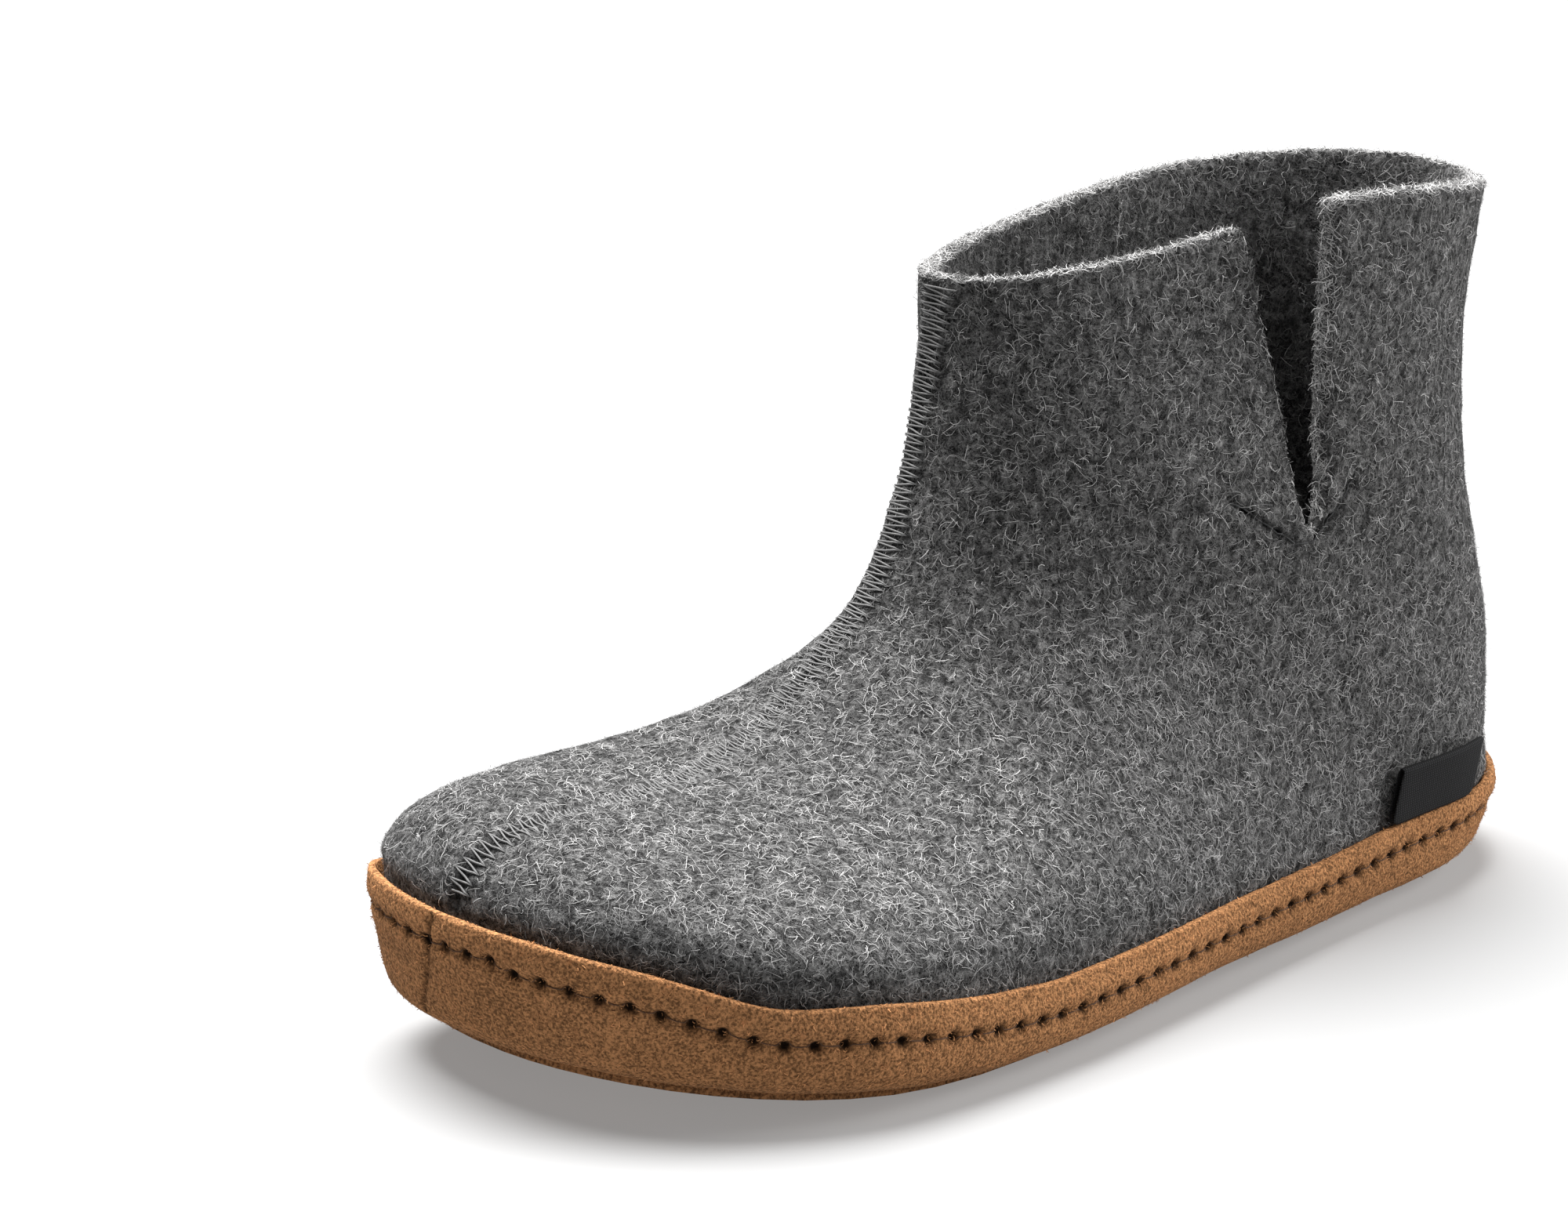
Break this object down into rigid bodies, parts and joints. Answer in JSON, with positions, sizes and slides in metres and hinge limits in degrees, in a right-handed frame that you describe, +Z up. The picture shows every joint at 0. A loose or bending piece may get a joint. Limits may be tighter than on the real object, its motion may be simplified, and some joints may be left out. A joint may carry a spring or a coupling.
{
  "type": "felt slipper boot",
  "caption": "Ankle-high felt slipper boot for the left foot, hollow, with a slit at each side of the collar, a suede wrap round the foot and a thin flat sole.",
  "frame": {"origin": "middle of the bounding box on the floor under the tread", "axes": "+Z up, toe towards -Y, heel towards +Y, outer side of the left foot towards +X"},
  "size_m": [0.1077, 0.2636, 0.1465],
  "materials": {
    "felt": "mottled grey boiled wool felt with loose fibres",
    "suede": "tan suede with a short nap",
    "suede_sole": "brown roughed leather",
    "footbed": "grey felt footbed",
    "woven_tab": "blank black woven ribbon"
  },
  "bodies": {
    "root": {"upper": "felt", "suede_wrap": "suede", "outsole": "suede_sole", "insole": "footbed", "side_label": "woven_tab"}
  },
  "joints": []
}
